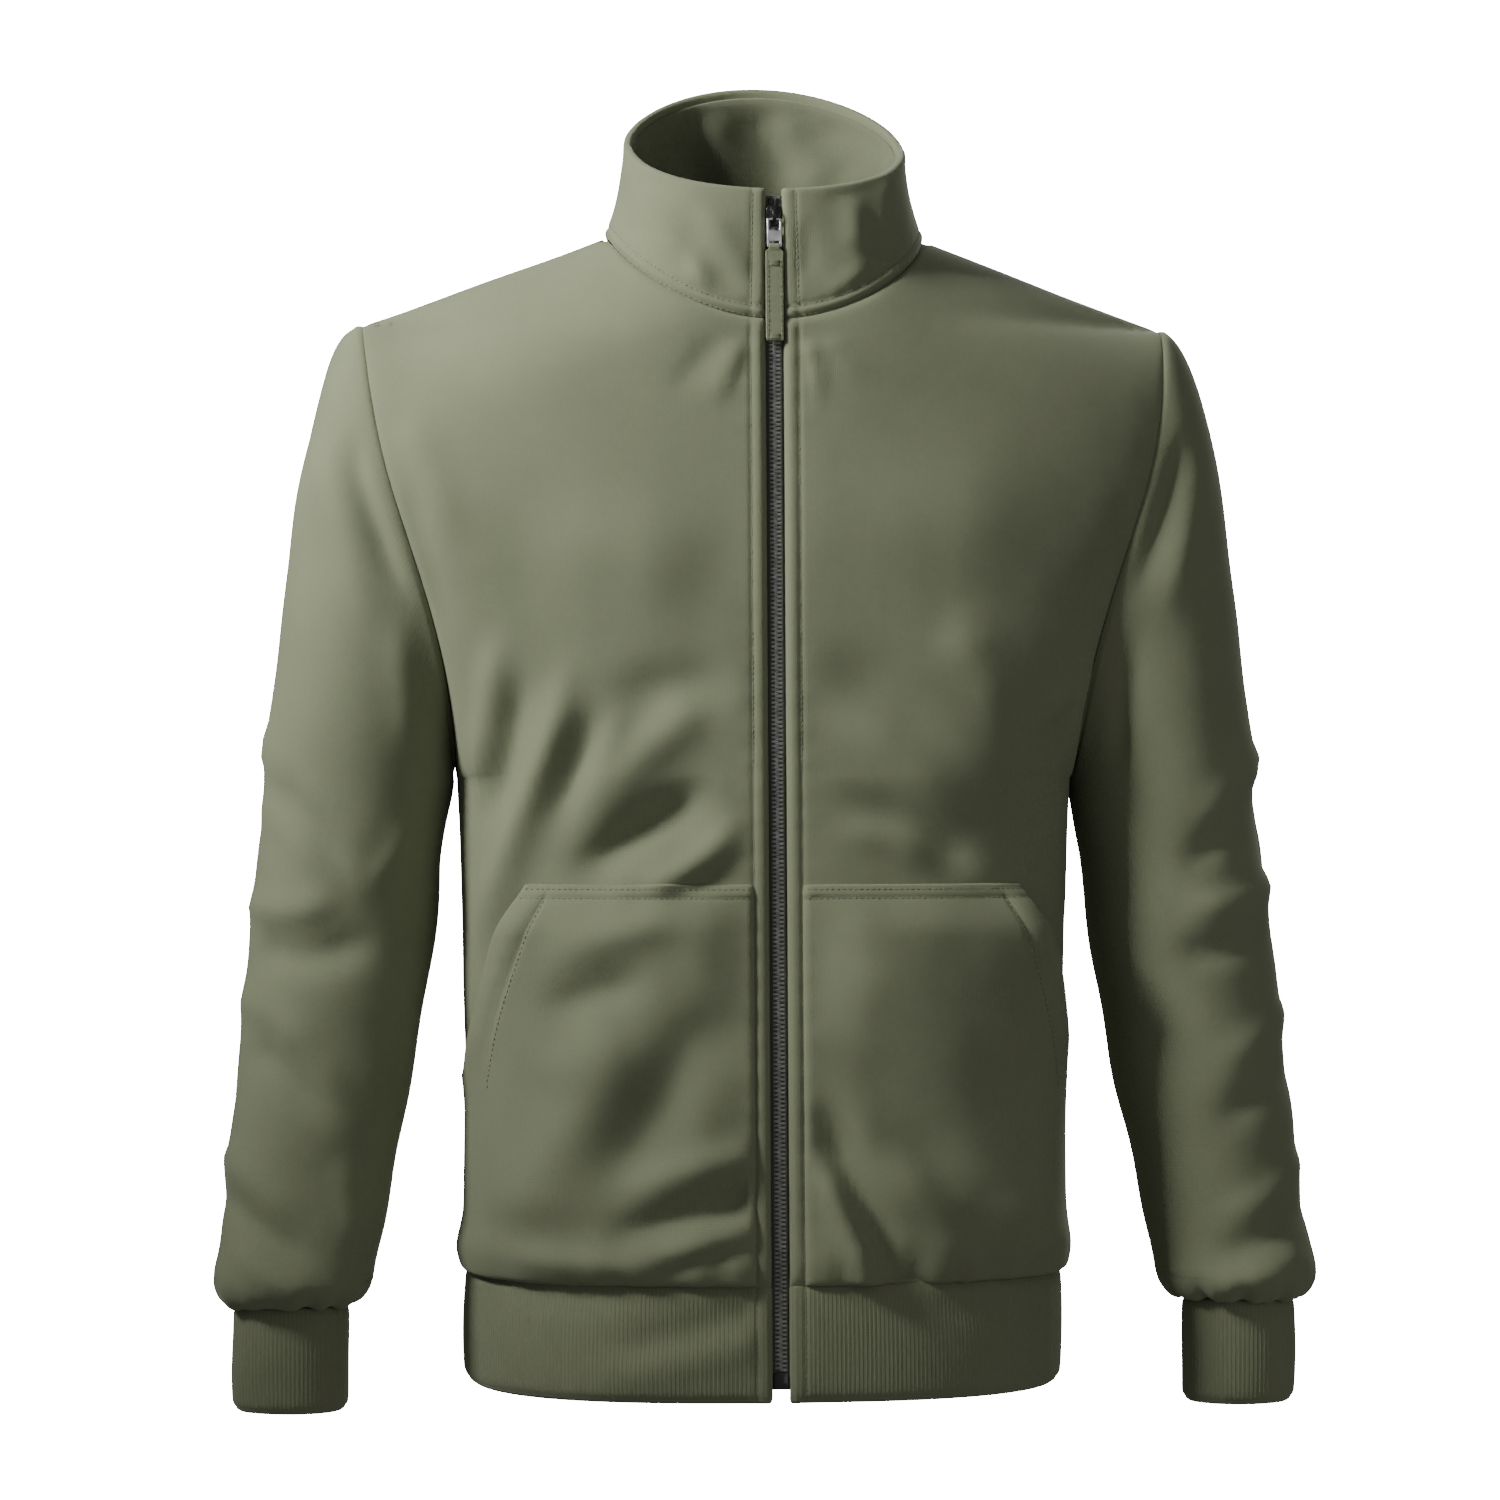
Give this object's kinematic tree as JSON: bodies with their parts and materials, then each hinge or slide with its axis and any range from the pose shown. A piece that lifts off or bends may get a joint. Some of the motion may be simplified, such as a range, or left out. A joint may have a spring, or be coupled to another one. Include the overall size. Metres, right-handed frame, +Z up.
{
  "type": "zip sweatshirt jacket",
  "caption": "Full-zip fleece sweatshirt jacket with a stand-up collar, slanted front pockets, ribbed cuffs and a ribbed waistband, shown as worn.",
  "frame": {"origin": "centre of the neck base, level with the points where the shoulder seams meet the neck seam", "axes": "+Z up, -Y out of the jacket's front, +X towards the wearer's left side"},
  "size_m": [0.6698, 0.2736, 0.813],
  "materials": {
    "fleece": "brushed cotton fleece, matt",
    "facing": "fleece, inner side",
    "rib": "rib knit",
    "zip_tape": "woven tape",
    "zip_teeth": "gunmetal grey, satin",
    "zip_hardware": "black enamel",
    "pull_metal": "bright nickel"
  },
  "bodies": {
    "jacket": {"back_panel": "fleece", "waistband": "rib", "collar_outer": "fleece", "collar_inner": "facing", "neck_tape": "facing", "front_panel_left": "fleece", "front_panel_right": "fleece", "pocket_left": "fleece", "pocket_right": "fleece", "zip_tape_left": "zip_tape", "zip_tape_right": "zip_tape", "zip_teeth_left": "zip_teeth", "zip_teeth_right": "zip_teeth", "top_stop_left": "zip_hardware", "top_stop_right": "zip_hardware", "insertion_pin": "zip_hardware", "retainer_box": "zip_hardware"},
    "slider": {"zip_slider": "zip_hardware"},
    "pull": {"zip_pull": "pull_metal"},
    "strap": {"pull_strap": "fleece"},
    "sleeve_left": {"sleeve_left": "fleece", "cuff_left": "rib"},
    "sleeve_right": {"sleeve_right": "fleece", "cuff_right": "rib"}
  },
  "joints": [
    {"name": "zip_slide", "type": "slide", "parent": "jacket", "child": "slider", "axis": [0, -0.0748, -0.9972], "range_m": [0, 0.684]},
    {"name": "pull_hinge", "type": "hinge", "parent": "slider", "child": "pull", "pos_m": [0, -0.08944, 0.00346], "axis": [-1, 0, 0], "range_deg": [0, 140]},
    {"name": "strap_hinge", "type": "hinge", "parent": "pull", "child": "strap", "pos_m": [0, -0.09067, -0.01289], "axis": [-1, 0, 0], "range_deg": [0, 40]},
    {"name": "sleeve_left_lift", "type": "hinge", "parent": "jacket", "child": "sleeve_left", "pos_m": [0.247, -0.005, -0.055], "axis": [0, -1, 0], "range_deg": [0, 40]},
    {"name": "sleeve_right_lift", "type": "hinge", "parent": "jacket", "child": "sleeve_right", "pos_m": [-0.247, -0.005, -0.055], "axis": [0, 1, 0], "range_deg": [0, 40]}
  ]
}
